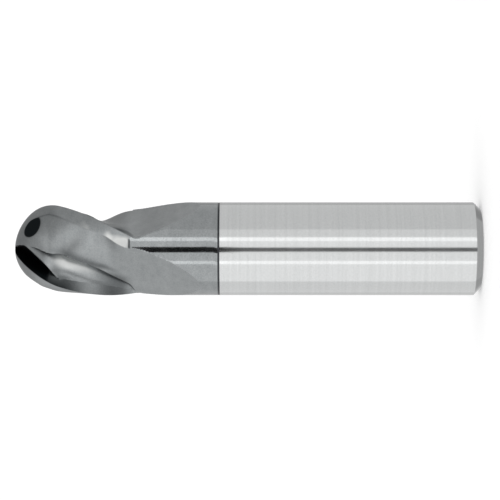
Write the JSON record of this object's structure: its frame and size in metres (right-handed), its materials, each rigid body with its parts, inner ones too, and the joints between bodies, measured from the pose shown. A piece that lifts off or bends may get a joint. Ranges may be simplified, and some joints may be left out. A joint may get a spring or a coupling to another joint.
{
  "type": "ball nose end mill",
  "caption": "Stub-length solid ball nose end mill with right-hand helical flutes, coated cutting head and plain ground shank.",
  "frame": {"origin": "centre of the flat back face of the shank", "axes": "+Z along the tool's axis from the shank's back face to the ball tip; the first tooth's edge leaves the tip 8.35 degrees from +X and turns as a right-hand helix"},
  "size_m": [0.0126, 0.0126, 0.0635],
  "materials": {
    "coated_carbide": "satin dark grey hard coating over ground carbide",
    "seam": "dull dark line",
    "ground_carbide": "bright cylindrically ground"
  },
  "bodies": {
    "root": {"cutting_head": "coated_carbide", "braze_seam": "seam", "shank": "ground_carbide"}
  },
  "joints": []
}
